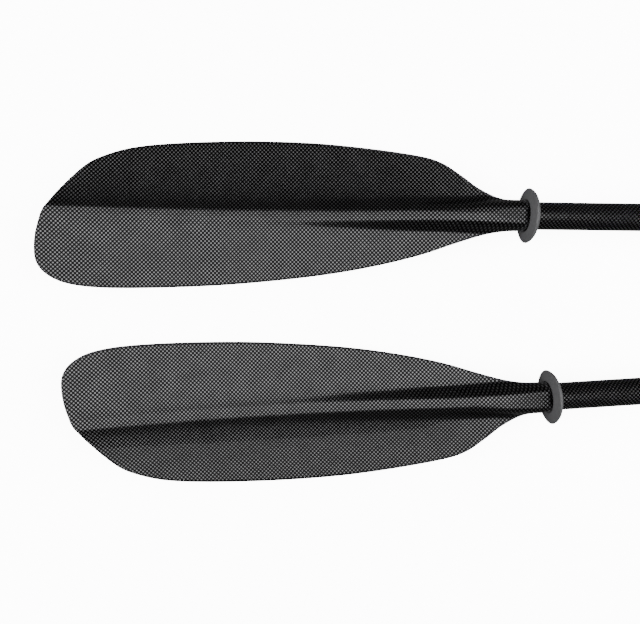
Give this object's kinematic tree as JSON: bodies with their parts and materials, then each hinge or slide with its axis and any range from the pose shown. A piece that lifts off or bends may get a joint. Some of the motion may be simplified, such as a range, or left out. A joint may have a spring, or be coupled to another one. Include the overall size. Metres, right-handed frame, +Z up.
{
  "type": "kayak paddle",
  "caption": "Touring kayak paddle in carbon, taken apart into its two halves, with spooned blades, drip rings and a lever-locked ferrule.",
  "frame": {"origin": "middle of the two laid-out halves, on the surface they lie on", "axes": "+X along the right half's shaft from blade to ferrule, +Y from the left half towards the right half, +Z up, out of the power faces"},
  "size_m": [1.2216, 0.3606, 0.0579],
  "materials": {
    "carbon_weave": "gloss",
    "carbon_tube": "gloss",
    "edge_laminate": "satin",
    "adhesive": "satin",
    "foam": "matte",
    "ring_rubber": "matte",
    "glass_laminate": "satin",
    "moulded_black": "satin",
    "moulded_grey": "satin",
    "stainless": "satin",
    "anodised_aluminium": "satin"
  },
  "bodies": {
    "right_half": {"right_power_skin": "carbon_weave", "right_back_skin": "carbon_weave", "right_foam_core": "foam", "right_edge_band": "edge_laminate", "right_throat_bond": "adhesive", "right_shaft": "carbon_tube", "right_throat_plug": "foam", "socket_sleeve": "glass_laminate", "socket_bulkhead": "foam", "clamp_collar": "moulded_black", "clamp_screw": "stainless", "cam_saddle": "stainless"},
    "left_half": {"left_power_skin": "carbon_weave", "left_back_skin": "carbon_weave", "left_foam_core": "foam", "left_edge_band": "edge_laminate", "left_throat_bond": "adhesive", "left_shaft": "carbon_tube", "left_throat_plug": "foam", "ferrule_spigot": "glass_laminate", "spigot_cap": "moulded_black", "feather_index_ring": "moulded_grey"},
    "right_ring": {"right_drip_ring": "ring_rubber"},
    "left_ring": {"left_drip_ring": "ring_rubber"},
    "lever": {"cam_lever": "moulded_black", "lever_pin": "stainless"},
    "nut": {"adjuster_nut": "anodised_aluminium"}
  },
  "joints": [
    {"name": "assemble_swing", "type": "hinge", "parent": "right_half", "child": "left_half", "pos_m": [0.54874, 0.03191, 0.0278], "axis": [0, 0, 1], "range_deg": [0, 176.04]},
    {"name": "right_ring_slide", "type": "slide", "parent": "right_half", "child": "right_ring", "axis": [1, 0, 0], "range_m": [0, 0.565]},
    {"name": "left_ring_slide", "type": "slide", "parent": "left_half", "child": "left_ring", "axis": [0.9976, 0.0691, 0], "range_m": [0, 0.59]},
    {"name": "lever_hinge", "type": "hinge", "parent": "right_half", "child": "lever", "pos_m": [0.4756, 0.1187, 0.0513], "axis": [1, 0, 0], "range_deg": [0, 110]},
    {"name": "nut_turn", "type": "hinge", "parent": "right_half", "child": "nut", "pos_m": [0.4756, 0.0913, 0.0513], "axis": [0, 1, 0], "continuous": true}
  ]
}
